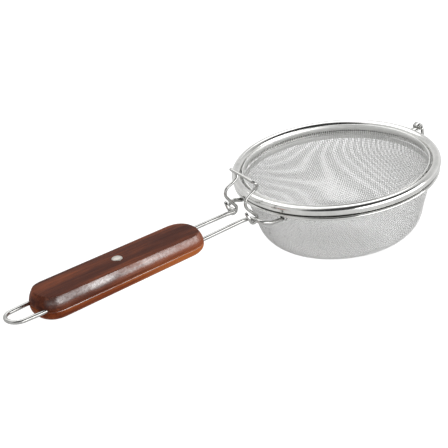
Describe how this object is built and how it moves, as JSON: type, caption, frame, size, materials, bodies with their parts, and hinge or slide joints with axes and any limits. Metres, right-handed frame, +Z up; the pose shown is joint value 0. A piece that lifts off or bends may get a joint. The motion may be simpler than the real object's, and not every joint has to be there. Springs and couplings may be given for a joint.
{
  "type": "double sieve strainer",
  "caption": "Honey strainer with a deep mesh bowl, a shallow hinged mesh dish over it, a bent-wire frame, a spring clip and a wooden grip.",
  "frame": {"origin": "centre of the lower bowl's flat base, on its underside", "axes": "+X away from the grip, along the handle, towards the hinge; +Y across the handle; +Z up, out of the bowl's mouth"},
  "size_m": [0.3711, 0.15, 0.0781],
  "materials": {
    "bright_steel": "polished stainless sheet",
    "steel_wire": "bright drawn wire",
    "wire_mesh": "plain-woven fine stainless wire",
    "stained_wood": "red-brown stained hardwood under gloss lacquer",
    "rivet_metal": "satin, slightly warm grey"
  },
  "bodies": {
    "lower_sieve": {"lower_mesh_bowl": "wire_mesh", "lower_rim_band": "bright_steel", "lower_rim_core_wire": "steel_wire", "lower_mesh_clamp_ring": "bright_steel", "handle_frame_wire": "steel_wire", "grip_upper_half": "stained_wood", "grip_lower_half": "stained_wood", "grip_rivet": "rivet_metal", "grip_rivet_burr": "rivet_metal", "hinge_staple": "steel_wire"},
    "upper_sieve": {"upper_mesh_dish": "wire_mesh", "upper_rim_band": "bright_steel", "upper_rim_core_wire": "steel_wire", "upper_mesh_clamp_ring": "bright_steel", "hinge_curl": "bright_steel"},
    "clip": {"spring_clip": "steel_wire"}
  },
  "joints": [
    {"name": "lid_hinge", "type": "hinge", "parent": "lower_sieve", "child": "upper_sieve", "pos_m": [0.081, 0, 0.0535], "axis": [0, 1, 0], "range_deg": [0, 110]},
    {"name": "clip_pivot", "type": "hinge", "parent": "lower_sieve", "child": "clip", "pos_m": [-0.0869, 0, 0.0464], "axis": [0, 1, 0], "range_deg": [-55, 48]}
  ]
}
